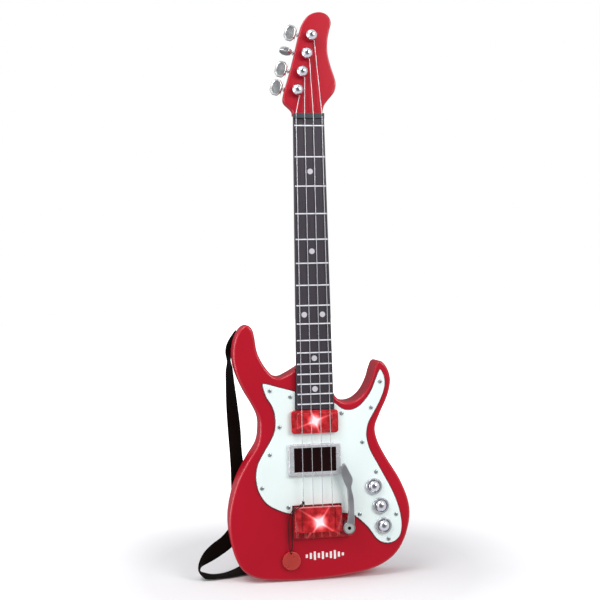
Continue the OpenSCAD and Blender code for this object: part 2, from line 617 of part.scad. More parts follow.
module strap_slider() color(black) placed() difference() {
    block(-100.7, -75.7, 23.2, 28.8, 81, 89);
    block(-98.2, -78.2, 24.6, 27.4, 80, 90);
}

// Pick on its cord
module pick() color([0.9, 0.35, 0.35, 0.8]) placed() difference() {
    turned(pick_at, [[0, -23.8], [pick_r - 0.8, -23.6], [pick_r, -23.1], [pick_r, -22.9],
        [pick_r - 0.8, -22.4], [0, -22.2]]);
    rod(pick_hole, 1.1, -26, -20);
}

module pick_cord() color(black) placed() tube(open_curve(cord_route, 3), cord_d / 2, 8, [1, 0, 0]);

// Row of bars, rising and falling like a level meter
bar_heights = [4, 7, 10, 6, 9, 5, 8, 10, 6, 3.5];
module badge_bars() color("#f4f2f0") placed() for (k = [0:9]) slab(front - 0.4, front)
    translate([-14.5 + 4.8 * k, 28.5 - bar_heights[k] / 2]) square([2.6, bar_heights[k]]);

front_body_shell();
rear_body_shell();
body_screws();
pickguard();
pickguard_screws();
fretboard();
neck_back();
neck_screws();
frets();
fret_markers();
nut();
headstock_shell();
headstock_cover();
headstock_screws();
tuner_post(1);  // tuner_post_1
tuner_post(2);  // tuner_post_2
tuner_post(3);  // tuner_post_3
tuner_post(4);  // tuner_post_4
tuner_key(1, 90);  // tuner_key_1
tuner_key(2, 0);  // tuner_key_2
tuner_key(3, 90);  // tuner_key_3
tuner_key(4, 90);  // tuner_key_4
string(1);  // string_1
string(2);  // string_2
string(3);  // string_3
string(4);  // string_4
string_anchor();
neck_pickup_cover();
neck_led_board();
pickup_frame();
pickup_window();
bridge_cover();
bridge_led_board();
whammy_arm();
whammy_screw();
whammy_shaft();
whammy_spring();
button(1);  // button_1
button(2);  // button_2
button(3);  // button_3
button_bezels();
rubber_dome(1);  // rubber_dome_1
rubber_dome(2);  // rubber_dome_2
rubber_dome(3);  // rubber_dome_3
button_board();
main_board();
speaker();
batteries();
battery_contacts();
battery_door();
battery_door_screw();
power_switch_knob();
power_switch_body();
strap_pegs();
strap();
strap_slider();
pick();
pick_cord();
badge_bars();
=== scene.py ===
import math

import bmesh
import bpy
from mathutils import Matrix, Vector


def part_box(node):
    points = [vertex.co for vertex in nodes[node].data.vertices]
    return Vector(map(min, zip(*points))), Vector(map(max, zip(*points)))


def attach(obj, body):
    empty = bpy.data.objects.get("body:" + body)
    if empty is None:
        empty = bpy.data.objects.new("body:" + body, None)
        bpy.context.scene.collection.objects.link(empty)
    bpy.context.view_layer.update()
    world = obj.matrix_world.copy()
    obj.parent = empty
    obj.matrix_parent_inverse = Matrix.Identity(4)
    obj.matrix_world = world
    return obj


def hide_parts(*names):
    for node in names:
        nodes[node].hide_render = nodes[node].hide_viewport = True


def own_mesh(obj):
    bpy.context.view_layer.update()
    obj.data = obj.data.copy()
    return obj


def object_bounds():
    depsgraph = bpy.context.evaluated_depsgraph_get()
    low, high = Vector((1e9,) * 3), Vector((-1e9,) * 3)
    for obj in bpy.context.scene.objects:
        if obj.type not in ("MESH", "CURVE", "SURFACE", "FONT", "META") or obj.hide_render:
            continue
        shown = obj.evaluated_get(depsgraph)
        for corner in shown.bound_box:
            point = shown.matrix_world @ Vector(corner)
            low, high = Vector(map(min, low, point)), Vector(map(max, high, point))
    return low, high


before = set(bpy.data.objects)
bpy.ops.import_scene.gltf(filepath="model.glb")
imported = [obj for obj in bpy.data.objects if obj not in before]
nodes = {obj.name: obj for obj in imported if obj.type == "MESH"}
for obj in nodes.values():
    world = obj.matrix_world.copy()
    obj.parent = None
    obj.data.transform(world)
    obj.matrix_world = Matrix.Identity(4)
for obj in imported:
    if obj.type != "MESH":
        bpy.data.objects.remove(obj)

cad_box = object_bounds()

# Where the hanger holds the neck, in the design's own coordinates. The routes below are in those
# coordinates, in metres, and row() brings them into the frame that the hanger sets.
HANG = Vector((0.0, -0.0145, 0.540))


def row(point):
    return Vector(point) - HANG


# ---------------------------------------------------------------------------------------------
# Camera
# ---------------------------------------------------------------------------------------------
CAMERA_AT = Vector((-0.178, -1.1135, -0.2094))
CAMERA_TURN = math.radians(8.4)
CAMERA_ROLL = math.radians(1.3)
CAMERA_LENS = 57.0


def add_camera():
    """Level camera left of the guitar, turned a little to the right and rolled slightly."""
    up = Vector((0, 0, 1))
    ahead = Vector((math.sin(CAMERA_TURN), math.cos(CAMERA_TURN), 0))
    side = Vector((math.cos(CAMERA_TURN), -math.sin(CAMERA_TURN), 0))
    image_up = up * math.cos(CAMERA_ROLL) + side * math.sin(CAMERA_ROLL)
    image_right = side * math.cos(CAMERA_ROLL) - up * math.sin(CAMERA_ROLL)
    data = bpy.data.cameras.new("camera")
    data.lens = CAMERA_LENS
    camera = bpy.data.objects.new("camera", data)
    place = Matrix((image_right, image_up, -ahead)).transposed().to_4x4()
    place.translation = CAMERA_AT
    camera.matrix_world = place
    bpy.context.scene.collection.objects.link(camera)
    bpy.context.scene.camera = camera


# ---------------------------------------------------------------------------------------------
# Shading
# ---------------------------------------------------------------------------------------------
def tint(r, g, b):
    """The linear colour of a surface that the eye reads as r, g, b from 0 to 255."""
    return tuple(((c / 255 + 0.055) / 1.055) ** 2.4 for c in (r, g, b)) + (1.0,)


def scaled(colour, factor):
    return tuple(min(1.0, c * factor) for c in colour[:3]) + (1.0,)


class Shader:
    """A Principled material. What is even over the surface is set on the shader's own sockets."""

    def __init__(self, name, colour, **even):
        self.material = bpy.data.materials.new(name)
        self.material.use_nodes = True
        self.tree = self.material.node_tree
        self.surface = self.tree.nodes["Principled BSDF"]
        self.surface.inputs["Base Color"].default_value = colour
        for words, value in even.items():
            self.surface.inputs[words.replace("_", " ").title().replace("Ior", "IOR")].default_value = value
        self.place = self.node("ShaderNodeTexCoord").outputs["Object"]
        self.relief = None

    def node(self, kind, **settings):
        made = self.tree.nodes.new(kind)
        for key, value in settings.items():
            setattr(made, key, value)
        return made

    def join(self, source, socket):
        self.tree.links.new(source, socket)

    def fill(self, socket, value):
        """Links a socket to an output, or sets it to a number."""
        if isinstance(value, bpy.types.NodeSocket):
            self.join(value, socket)
        else:
            socket.default_value = value

    def stretched(self, scale, place=None):
        mapping = self.node("ShaderNodeMapping")
        self.join(place or self.place, mapping.inputs["Vector"])
        mapping.inputs["Scale"].default_value = scale
        return mapping.outputs["Vector"]

    def noise(self, scale, detail=3.0, stretch=(1, 1, 1), rough=0.5):
        made = self.node("ShaderNodeTexNoise")
        self.join(self.stretched(stretch), made.inputs["Vector"])
        made.inputs["Scale"].default_value = scale
        made.inputs["Detail"].default_value = detail
        made.inputs["Roughness"].default_value = rough
        return made.outputs["Fac"]

    def math(self, kind, a, b=0.0, c=0.0, clamp=False):
        made = self.node("ShaderNodeMath", operation=kind, use_clamp=clamp)
        for socket, value in zip(made.inputs, (a, b, c)):
            self.fill(socket, value)
        return made.outputs[0]

    def spread(self, value, low, high, start=0.0, end=1.0):
        """Maps value, from start to end, onto low to high."""
        made = self.node("ShaderNodeMapRange")
        self.join(value, made.inputs["Value"])
        made.inputs["From Min"].default_value = start
        made.inputs["From Max"].default_value = end
        made.inputs["To Min"].default_value = low
        made.inputs["To Max"].default_value = high
        return made.outputs["Result"]

    def blend(self, factor, a, b):
        made = self.node("ShaderNodeMix", data_type="RGBA")
        self.fill(made.inputs["Factor"], factor)
        self.fill(made.inputs[6], a)
        self.fill(made.inputs[7], b)
        return made.outputs[2]

    def axis(self, name, place=None):
        parts = self.node("ShaderNodeSeparateXYZ")
        self.join(place or self.place, parts.inputs[0])
        return parts.outputs[name]

    def distance(self, point, stretch=(1, 1, 1)):
        """Distance of the surface from a point, in metres."""
        made = self.node("ShaderNodeVectorMath", operation="DISTANCE")
        self.join(self.stretched(stretch), made.inputs[0])
        made.inputs[1].default_value = [p * s for p, s in zip(point, stretch)]
        return made.outputs["Value"]

    def colour(self, value):
        self.fill(self.surface.inputs["Base Color"], value)

    def roughness(self, value):
        self.fill(self.surface.inputs["Roughness"], value)

    def bump(self, height, depth, strength=1.0):
        """Adds relief of that depth, in metres, on top of what is there."""
        made = self.node("ShaderNodeBump")
        made.inputs["Strength"].default_value = strength
        made.inputs["Distance"].default_value = depth
        self.fill(made.inputs["Height"], height)
        if self.relief:
            self.join(self.relief, made.inputs["Normal"])
        self.relief = made.outputs["Normal"]
        self.fill(self.surface.inputs["Normal"], self.relief)


def moulded(name, colour, gloss=0.2, uneven=0.06, ripple=0.00003, **even):
    """Injection-moulded plastic: faint flow clouding, uneven gloss, soft ripple and fine scratches."""
    skin = Shader(name, colour, **even)
    clouds = skin.noise(14, 2)
    skin.colour(skin.blend(skin.spread(clouds, 0, 1, 0.3, 0.7), scaled(colour, 0.95), scaled(colour, 1.04)))
    grain = skin.noise(900, 2)
    scuffs = skin.spread(skin.noise(160, 3, (1, 1, 4), 0.6), 0, 1, 0.62, 0.8)
    skin.roughness(skin.math("ADD", skin.spread(grain, gloss - uneven / 2, gloss + uneven / 2),
                             skin.math("MULTIPLY", scuffs, uneven / 2)))
    skin.bump(skin.noise(55, 1), ripple * 6, 0.2)
    skin.bump(grain, ripple, 0.3)
    return skin


def metal(name, colour, gloss=0.1, brush=(1, 1, 1), uneven=0.06, **even):
    """Plated or bare metal with smudges and fine brushing along the axis that is stretched least."""
    skin = Shader(name, colour, **{"metallic": 1.0, **even})
    smudge = skin.noise(120, 3)
    lines = skin.noise(1400, 2, brush)
    skin.colour(skin.blend(skin.spread(smudge, 0, 1, 0.35, 0.65), scaled(colour, 0.9), scaled(colour, 1.04)))
    skin.roughness(skin.math("ADD", skin.spread(smudge, gloss, gloss + uneven, 0.3, 0.7),
                             skin.spread(lines, -uneven / 4, uneven / 4)))
    skin.bump(lines, 0.000004, 0.3)
    return skin


def red_plastic():
    return moulded("red_plastic", tint(178, 10, 35), 0.3, coat_weight=0.12, coat_roughness=0.06,
                    specular_ior_level=0.4)


def white_ply():
    """Pickguard sheet: a white top ply with a dark ply under it, which its bevelled edge shows."""
    skin = moulded("white_plastic", tint(238, 250, 247), 0.16, coat_weight=0.2, coat_roughness=0.05)
    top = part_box("pickguard")[0].y
    white = skin.surface.inputs["Base Color"].links[0].from_socket
    dark = skin.blend(skin.noise(300, 2), tint(52, 54, 66), tint(70, 72, 84))
    depth = skin.spread(skin.axis("Y"), 0, 1, top + PLY, top + PLY + 0.00006)
    skin.colour(skin.blend(depth, white, dark))
    return skin


def fretboard_plastic():
    """Dark plastic moulded with a fine open grain along the neck."""
    colour = tint(60, 54, 62)
    skin = Shader("fretboard_plastic", colour, specular_ior_level=0.35)
    grain = skin.noise(260, 4, (1, 1, 0.06), 0.6)
    pores = skin.spread(skin.noise(900, 2, (1, 1, 0.05), 0.6), 0, 1, 0.55, 0.7)
    clouds = skin.noise(20, 2, (1, 1, 0.4))
    base = skin.blend(clouds, scaled(colour, 0.75), scaled(colour, 1.25))
    skin.colour(skin.blend(skin.math("MULTIPLY", pores, 0.55), base, scaled(colour, 0.45)))
    skin.roughness(skin.math("ADD", skin.spread(grain, 0.34, 0.5), skin.math("MULTIPLY", pores, 0.1)))
    skin.bump(pores, -0.00004, 0.5)
    skin.bump(grain, 0.00003, 0.4)
    return skin


# Fineness of the winding on the strings
STRING_TURNS = 900


def string_metal():
    """Wound string: fine turns across it, coloured lighter on the crowns as a painted highlight and darker
    between them as painted shade.
    """
    skin = Shader("string_metal", tint(206, 208, 212), metallic=0.85)
    turns = skin.node("ShaderNodeTexWave", wave_type="BANDS", bands_direction="Z", wave_profile="SIN")
    skin.join(skin.place, turns.inputs["Vector"])
    turns.inputs["Scale"].default_value = STRING_TURNS
    crown_with_painted_highlight = turns.outputs["Fac"]
    # Painted highlight and shade: the crowns of the turns are coloured lighter, the grooves between them
    # darker.
    skin.colour(skin.blend(crown_with_painted_highlight, tint(176, 178, 182), tint(222, 223, 226)))
    skin.roughness(skin.spread(crown_with_painted_highlight, 0.4, 0.26))
    skin.bump(crown_with_painted_highlight, 0.00002, 0.4)
    return skin


def lit_cover(name, led, reach, lean):
    """Clear red cover over a light. All its emission is painted light: a bright core and a wide glow in the
    plastic that stand in for the light under the cover, four painted rays and painted glints.
    """
    skin = Shader(name, tint(208, 24, 34), transmission_weight=0.35, ior=1.4, coat_weight=0.8,
                  coat_roughness=0.04)
    facets = skin.node("ShaderNodeTexVoronoi", feature="F1")
    skin.join(skin.stretched((1, 0.4, 1)), facets.inputs["Vector"])
    facets.inputs["Scale"].default_value = 230
    cell = facets.outputs["Distance"]
    swirl = skin.noise(150, 3)
    skin.colour(skin.blend(skin.spread(swirl, 0, 1, 0.35, 0.65), tint(176, 16, 28), tint(230, 52, 60)))
    skin.roughness(skin.spread(swirl, 0.05, 0.18))
    skin.bump(cell, 0.0004, 0.5)
    local = skin.node("ShaderNodeMapping", vector_type="TEXTURE")
    skin.join(skin.place, local.inputs["Vector"])
    local.inputs["Location"].default_value = led
    local.inputs["Rotation"].default_value = (0, lean, 0)
    across, up = (skin.math("ABSOLUTE", skin.axis(name, local.outputs["Vector"])) for name in "XZ")
    near = skin.distance(led, (1, 0.2, 1))

    # Painted highlight: thin rays of light drawn out from the core as a star.
    def painted_ray(along, aside):
        thin = skin.node("ShaderNodeMapRange", clamp=True)
        skin.join(aside, thin.inputs["Value"])
        thin.inputs["From Max"].default_value = reach * 0.17
        thin.inputs["To Min"].default_value = 1.0
        thin.inputs["To Max"].default_value = 0.0
        return skin.math("MULTIPLY", thin.outputs["Result"],
                         skin.math("POWER", skin.spread(along, 1, 0, 0, reach * 4.5), 1.6, clamp=True))

    # Painted glow: the core and the wide glow stand in for the light shining through the cover.
    painted_core = skin.math("POWER", skin.spread(near, 1, 0, reach * 0.3, reach), 1.5, clamp=True)
    painted_rays = skin.math("ADD", painted_ray(across, up), painted_ray(up, across))
    painted_wide_glow = skin.math("POWER", skin.spread(near, 1, 0, 0.0, reach * 3), 2.0, clamp=True)
    white = skin.math("ADD", painted_core, skin.math("MULTIPLY", painted_rays, 0.6), clamp=True)
    # Painted glints: facets near the light are lit up in the emission.
    painted_glints = skin.math("MULTIPLY", skin.spread(cell, 1, 0, 0.05, 0.3), painted_wide_glow)
    painted_glow = skin.math("ADD", white, skin.math("MULTIPLY", painted_wide_glow, 0.16))
    skin.fill(skin.surface.inputs["Emission Color"],
              skin.blend(white, tint(236, 36, 44), tint(255, 226, 230)))
    skin.fill(skin.surface.inputs["Emission Strength"],
              skin.math("ADD", painted_glow, skin.math("MULTIPLY", painted_glints, 0.25)))
    return skin


def smoked_window():
    """Near-black red window, polished, with faint swirls from moulding."""
    skin = Shader("window_red", tint(24, 2, 5), specular_ior_level=0.3)
    swirl = skin.noise(40, 3, (1, 1, 0.4))
    skin.colour(skin.blend(swirl, tint(12, 1, 2), tint(38, 2, 6)))
    skin.roughness(skin.spread(swirl, 0.06, 0.16))
    skin.bump(swirl, 0.00008, 0.3)
    return skin


def silver_paint():
    """Satin silver-grey paint with fine metal flake and a little orange peel."""
    colour = tint(150, 150, 154)
    skin = Shader("arm_grey", colour, metallic=0.55)
    flake = skin.noise(2600, 1)
    clouds = skin.noise(45, 3)
    skin.colour(skin.blend(skin.spread(clouds, 0, 1, 0.3, 0.7), scaled(colour, 0.78), scaled(colour, 1.15)))
    skin.roughness(skin.math("ADD", skin.spread(flake, 0.3, 0.46), skin.spread(clouds, -0.04, 0.06)))
    skin.bump(flake, 0.00002, 0.35)
    skin.bump(clouds, 0.00015, 0.25)
    return skin


def webbing():
    """Woven webbing: rows of warp ribs crossed by the weft, from the strap's own coordinates, coloured
    darker in the weave's hollows as painted shade and lighter on its ribs as a painted highlight.
    """
    colour = tint(16, 11, 6)
    skin = Shader("webbing", colour, specular_ior_level=0.08)
    laid = skin.node("ShaderNodeAttribute", attribute_name="weave").outputs["Vector"]
    across = skin.math("MULTIPLY", skin.axis("X", laid), math.tau / WARP_PITCH)
    along = skin.math("MULTIPLY", skin.axis("Y", laid), math.tau / WEFT_PITCH)
    rib = skin.math("ABSOLUTE", skin.math("SINE", skin.math("MULTIPLY", across, 0.5)))
    step = skin.math("SINE", skin.math("ADD", along, skin.math("MULTIPLY", across, 0.5)))
    weave = skin.math("MULTIPLY", rib, skin.spread(step, 0.45, 1.0, -1, 1))
    fuzz = skin.noise(1800, 2)
    height = skin.math("ADD", weave, skin.math("MULTIPLY", fuzz, 0.25))
    # Painted shade and highlight: the weave's low points are coloured darker and its high points lighter.
    skin.colour(skin.blend(skin.spread(height, 0, 1, 0.1, 1.1), scaled(colour, 0.35), scaled(colour, 1.5)))
    skin.roughness(skin.spread(fuzz, 0.62, 0.85))
    skin.bump(height, 0.00022, 0.9)
    return skin


STRAND_PITCH = 0.0009


def braided_cord():
    """Matt black cord with strands laid round it at a slant, coloured lighter on the strands and darker
    between them as painted highlight and painted shade.
    """
    colour = tint(26, 25, 26)
    skin = Shader("black_cord", colour, specular_ior_level=0.25)
    lay = skin.math("ADD", skin.axis("Z"), skin.axis("X"))
    strand_relief_and_shade = skin.math("SINE", skin.math("MULTIPLY", lay, math.tau / STRAND_PITCH))
    fuzz = skin.noise(2500, 2)
    # Painted highlight and shade: the strands are coloured lighter on top and darker between them.
    skin.colour(skin.blend(skin.spread(strand_relief_and_shade, 0, 1, -1, 1), scaled(colour, 0.5), scaled(colour, 1.6)))
    skin.roughness(skin.spread(fuzz, 0.6, 0.85))
    skin.bump(strand_relief_and_shade, 0.00012, 0.7)
    return skin


def clear_pick():
    """Tinted see-through plastic, cloudy and finely scratched."""
    colour = tint(224, 92, 84)
    skin = Shader("pick_plastic", colour, transmission_weight=0.55, ior=1.3)
    cloud = skin.noise(90, 3)
    skin.colour(skin.blend(cloud, scaled(colour, 0.9), scaled(colour, 1.08)))
    skin.roughness(skin.spread(cloud, 0.22, 0.36))
    skin.bump(skin.noise(700, 2), 0.00003, 0.4)
    return skin


def circuit_board():
    """Green solder mask over copper tracks, with a fine fibre weave under it."""
    skin = Shader("circuit_board", tint(20, 92, 52), coat_weight=0.3)
    tracks = skin.node("ShaderNodeTexBrick", offset=0.5)
    skin.join(skin.place, tracks.inputs["Vector"])
    tracks.inputs["Scale"].default_value = 90
    tracks.inputs["Mortar Size"].default_value = 0.012
    tracks.inputs["Color1"].default_value = tint(16, 84, 46)
    tracks.inputs["Color2"].default_value = tint(22, 98, 56)
    tracks.inputs["Mortar"].default_value = tint(60, 140, 80)
    skin.colour(tracks.outputs["Color"])
    fibre = skin.noise(1200, 2, (1, 1, 0.3))
    skin.roughness(skin.spread(fibre, 0.28, 0.42))
    skin.bump(tracks.outputs["Fac"], 0.00004, 0.5)
    return skin


def battery_wrap():
    """Plain cells: a blue wrap with a copper-coloured band at the end that has the cap."""
    skin = Shader("battery_wrap", tint(40, 90, 150), metallic=0.5, coat_weight=0.5)
    low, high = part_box("batteries")
    band = skin.spread(skin.axis("Z"), 0, 1, high.z - 0.012, high.z - 0.0118)
    skin.colour(skin.blend(band, tint(36, 84, 146), tint(196, 128, 70)))
    fine = skin.noise(500, 2)
    skin.roughness(skin.spread(fine, 0.22, 0.34))
    skin.bump(fine, 0.00002, 0.3)
    return skin


def pearl():
    """Plated plastic with a milky lacquer."""
    colour = tint(214, 215, 216)
    skin = Shader("pearl_plastic", colour, metallic=0.85, coat_weight=0.2, coat_roughness=0.05)
    swirl = skin.noise(110, 3)
    skin.colour(skin.blend(skin.spread(swirl, 0, 1, 0.3, 0.7), tint(176, 178, 180), tint(222, 223, 224)))
    skin.roughness(skin.spread(swirl, 0.14, 0.3))
    skin.bump(swirl, 0.00012, 0.35)
    return skin


def socket_screw():
    """Dull zinc head with a dark disc painted in its middle as painted shade in the socket."""
    skin = moulded("zinc", tint(186, 190, 186), 0.32, 0.12, metallic=0.3)
    low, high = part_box("whammy_screw")
    zinc = skin.surface.inputs["Base Color"].links[0].from_socket
    # Painted shade: the head is coloured near black within 1.9 mm of its middle, where the socket's hollow
    # is.
    near = skin.spread(skin.distance((low + high) / 2, (1, 0, 1)), 0, 1, 0.0019, 0.0023)
    skin.colour(skin.blend(near, tint(26, 24, 28), zinc))
    return skin


def rubber():
    return moulded("rubber", tint(58, 58, 60), 0.72, 0.1, 0.00006)


def floor_paint(middle):
    """Matt white sweep that brightens away from the middle, so that it runs into the backdrop."""
    skin = Shader("floor", tint(218, 218, 219), emission_color=(1, 1, 1, 1), specular_ior_level=0.1)
    fine = skin.noise(30, 3)
    skin.roughness(skin.spread(fine, 0.8, 0.95))
    far = skin.spread(skin.distance(middle, (1, 1, 0)), 0.0, 1.1, *FLOOR_GLOW)
    skin.fill(skin.surface.inputs["Emission Strength"], far)
    return skin


# ---------------------------------------------------------------------------------------------
# Mesh tools
# ---------------------------------------------------------------------------------------------
def between(a, b, c, d, t):
    """Catmull-Rom point between b and c."""
    return 0.5 * (2 * b + (c - a) * t + (2 * a - 5 * b + 4 * c - d) * t * t
                  + (3 * b - a - 3 * c + d) * t * t * t)


def smooth_path(points, steps):
    last = len(points) - 1
    made = [between(points[max(i - 1, 0)], points[i], points[i + 1], points[min(i + 2, last)], k / steps)
            for i in range(last) for k in range(steps)]
    return made + [points[last].copy()]


def length_of(path):
    return sum((b - a).length for a, b in zip(path, path[1:]))


# Faces that meet at a larger angle than this are shaded with a sharp edge
SHARP_EDGE = math.radians(32)


def smooth_by_angle(limit):
    """Node group that shades smooth except across edges sharper than limit."""
    tree = bpy.data.node_groups.new("smooth_by_angle", "GeometryNodeTree")
    tree.interface.new_socket("Geometry", in_out="INPUT", socket_type="NodeSocketGeometry")
    tree.interface.new_socket("Geometry", in_out="OUTPUT", socket_type="NodeSocketGeometry")
    start = tree.nodes.new("NodeGroupInput")
    end = tree.nodes.new("NodeGroupOutput")
    faces = tree.nodes.new("GeometryNodeSetShadeSmooth")
    edges = tree.nodes.new("GeometryNodeSetShadeSmooth")
    edges.domain = "EDGE"
    edges.inputs["Shade Smooth"].default_value = False
    angle = tree.nodes.new("GeometryNodeInputMeshEdgeAngle")
    sharper = tree.nodes.new("FunctionNodeCompare")
    sharper.operation = "GREATER_THAN"
    sharper.inputs["B"].default_value = limit
    links = tree.links
    links.new(start.outputs[0], faces.inputs["Geometry"])
    links.new(faces.outputs[0], edges.inputs["Geometry"])
    links.new(angle.outputs["Unsigned Angle"], sharper.inputs["A"])
    links.new(sharper.outputs[0], edges.inputs["Selection"])
    links.new(edges.outputs[0], end.inputs[0])
    return tree


def shade(piece):
    """Smooth shading that keeps flat faces flat and sharp edges sharp."""
    piece.modifiers.new("smooth", "NODES").node_group = SMOOTH
    weighted = piece.modifiers.new("weighted", "WEIGHTED_NORMAL")
    weighted.keep_sharp = True


def plain_normals(mesh):
    """Drops the imported normals, so that the modifiers' own shading shows."""
    for name in ("custom_normal", "sharp_edge", "sharp_face"):
        if name in mesh.attributes:
            mesh.attributes.remove(mesh.attributes[name])


def dress(name, shader, edge=0.0, segments=2):
    """Gives a CAD node its material and, where edge is set, softly broken edges of that radius."""
    piece = nodes[name]
    piece.material_slots[0].material = shader.material
    plain_normals(piece.data)
    piece.modifiers.new("weld", "WELD").merge_threshold = 1e-6
    if edge:
        flat = piece.modifiers.new("flat", "DECIMATE")
        flat.decimate_type = "DISSOLVE"
        flat.angle_limit = math.radians(0.8)
        bevel = piece.modifiers.new("edge", "BEVEL")
        bevel.width = edge
        bevel.segments = segments
        bevel.limit_method = "ANGLE"
        bevel.angle_limit = math.radians(38)
        bevel.use_clamp_overlap = False
    shade(piece)


def chains_of(edges):
    """Groups edges that share corners."""
    left = set(edges)
    found = []
    while left:
        group, open_ends = [], [left.pop()]
        while open_ends:
            edge = open_ends.pop()
            group.append(edge)
            for corner in edge.verts:
                near = [e for e in corner.link_edges if e in left]
                left.difference_update(near)
                open_ends.extend(near)
        found.append(group)
    return found


def islands_of(faces):
    """Groups faces that share edges."""
    left = set(faces)
    found = []
    while left:
        group, waiting = [], [left.pop()]
        while waiting:
            face = waiting.pop()
            group.append(face)
            near = {f for e in face.edges for f in e.link_faces if f in left}
            left.difference_update(near)
            waiting.extend(near)
        found.append(group)
    return found


def round_rims(bm, level, radius, steps, lengths, room):
    """Rounds the rims of the flat faces at one level along Y and fills those faces again. lengths is
    the range of the rims' lengths, room tells how large the radius may be at a point, and one step
    makes a chamfer."""
    flat = [f for f in bm.faces
            if abs(f.normal.y) > 0.9 and all(abs(v.co.y - level) < 1e-5 for v in f.verts)]
    for island in islands_of(flat):
        inside = set(island)
        normal = island[0].normal.copy()
        inward = {}
        for face in island:
            for loop in face.loops:
                if any(f not in inside for f in loop.edge.link_faces):
                    along = loop.link_loop_next.vert.co - loop.vert.co
                    inward[loop.edge] = face.normal.cross(along).normalized()
        chains = [c for c in chains_of(inward) if lengths[0] < sum(e.calc_length() for e in c) < lengths[1]]
        if not chains:
            continue
        chosen = {v for chain in chains for e in chain for v in e.verts}
        bmesh.ops.delete(bm, geom=island, context="FACES")
        sides = {}
        for edge, side in inward.items():
            for corner in edge.verts:
                sides.setdefault(corner, []).append(side)
        rings = {}
        for corner, (one, other) in sides.items():
            place = corner.co.copy()
            size = min(radius, room(place)) if corner in chosen else 0.0
            rings[corner] = [corner] * (steps + 1)
            if size < 1e-5:
                continue
            miter = (one + other) / max(1 + one.dot(other), 0.45)
            corner.co = place - normal * size
            for k in range(1, steps + 1):
                turn = math.pi / 2 * k / steps
                rings[corner][k] = bm.verts.new(place + miter * size * (1 - math.cos(turn))
                                                - normal * size * (1 - math.sin(turn)))
        rim = []
        for edge in inward:
            a, b = (rings[corner] for corner in edge.verts)
            for k in range(steps):
                corners = list(dict.fromkeys((a[k], b[k], b[k + 1], a[k + 1])))
                if len(corners) > 2:
                    bm.faces.new(corners)
            rim.append(bm.edges.get((a[-1], b[-1])))
        bmesh.ops.triangle_fill(bm, use_beauty=True, use_dissolve=False, edges=rim, normal=normal)
    bmesh.ops.recalc_face_normals(bm, faces=bm.faces)


def rounded_copy(node, name, shader, rims, body="guitar"):
    """Stands in for a CAD piece, with rims rounded over as the moulding has them."""
    mesh = nodes[node].data.copy()
    plain_normals(mesh)
    bm = bmesh.new()
    bm.from_mesh(mesh)
    bmesh.ops.remove_doubles(bm, verts=bm.verts, dist=1e-6)
    bmesh.ops.dissolve_limit(bm, angle_limit=math.radians(0.5), verts=bm.verts, edges=bm.edges)
    bm.normal_update()
    for rim in rims:
        round_rims(bm, *rim)
    bm.to_mesh(mesh)
    bm.free()
    mesh.materials.clear()
    mesh.materials.append(shader.material)
    piece = bpy.data.objects.new(name, mesh)
    bpy.context.scene.collection.objects.link(piece)
    shade(piece)
    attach(piece, body)
    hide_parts(node)
    return piece


def skin_mesh(name, rings, shader, weave):
    """Closed mesh through rings of points, riding on the guitar; weave gives each ring's coordinates."""
    bm = bmesh.new()
    corners = [[bm.verts.new(p) for p in ring] for ring in rings]
    count = len(rings[0])
    for near, far in zip(corners, corners[1:]):
        for k in range(count):
            bm.faces.new((near[k], near[(k + 1) % count], far[(k + 1) % count], far[k]))
    bm.faces.new(reversed(corners[0]))
    bm.faces.new(corners[-1])
    bmesh.ops.recalc_face_normals(bm, faces=bm.faces)
    mesh = bpy.data.meshes.new(name)
    bm.to_mesh(mesh)
    bm.free()
    laid = mesh.attributes.new("weave", "FLOAT_VECTOR", "POINT")
    laid.data.foreach_set("vector", [c for ring in weave for point in ring for c in point])
    mesh.materials.append(shader.material)
    piece = bpy.data.objects.new(name, mesh)
    bpy.context.scene.collection.objects.link(piece)
    shade(piece)
    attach(piece, "guitar")
    return piece


def curve_piece(name, path, radius, shader):
    """Round cord along a path."""
    data = bpy.data.curves.new(name, "CURVE")
    data.dimensions = "3D"
    data.bevel_depth = radius
    data.bevel_resolution = 3
    data.use_fill_caps = True
    line = data.splines.new("POLY")
    line.points.add(len(path) - 1)
    for point, place in zip(line.points, path):
        point.co = (*place, 1.0)
    data.materials.append(shader.material)
    piece = bpy.data.objects.new(name, data)
    bpy.context.scene.collection.objects.link(piece)
    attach(piece, "guitar")
    return piece


# ---------------------------------------------------------------------------------------------
# Pick cord: tied to the lowest string, round the bridge, down, through the pick and back up
# ---------------------------------------------------------------------------------------------
CORD_D = 0.0011
CORD_Y = -0.0231
CORD_ROUTE = [
    (-0.0196, -0.033, 0.093), (-0.024, -0.0336, 0.0906), (-0.029, -0.0322, 0.087),
    (-0.032, -0.028, 0.0815), (-0.0338, -0.0246, 0.075), (-0.0343, CORD_Y, 0.067),
    (-0.0344, CORD_Y, 0.058), (-0.0345, CORD_Y, 0.048), (-0.0343, -0.0236, 0.040),
    (-0.0332, -0.0249, 0.0354), (-0.0322, -0.0244, 0.0336), (-0.0317, -0.0224, 0.0332),
    (-0.0313, -0.0213, 0.0344), (-0.0306, -0.0216, 0.038), (-0.0302, CORD_Y, 0.045),
    (-0.0302, CORD_Y, 0.054), (-0.0303, CORD_Y, 0.063), (-0.0303, -0.024, 0.071),
    (-0.030, -0.028, 0.0785), (-0.0292, -0.0336, 0.0846), (-0.0244, -0.0354, 0.0888),
    (-0.019, -0.0348, 0.091)]
KNOT_AT = (-0.0173, -0.0300, 0.0935)
KNOT_TURNS = 2.6
KNOT_R = 0.0012
KNOT_HEIGHT = 0.0034
KNOT_STEPS = 40
# The knot is drawn tight, so its cord is a little thinner than the rest
KNOT_CORD_R = CORD_D * 0.46


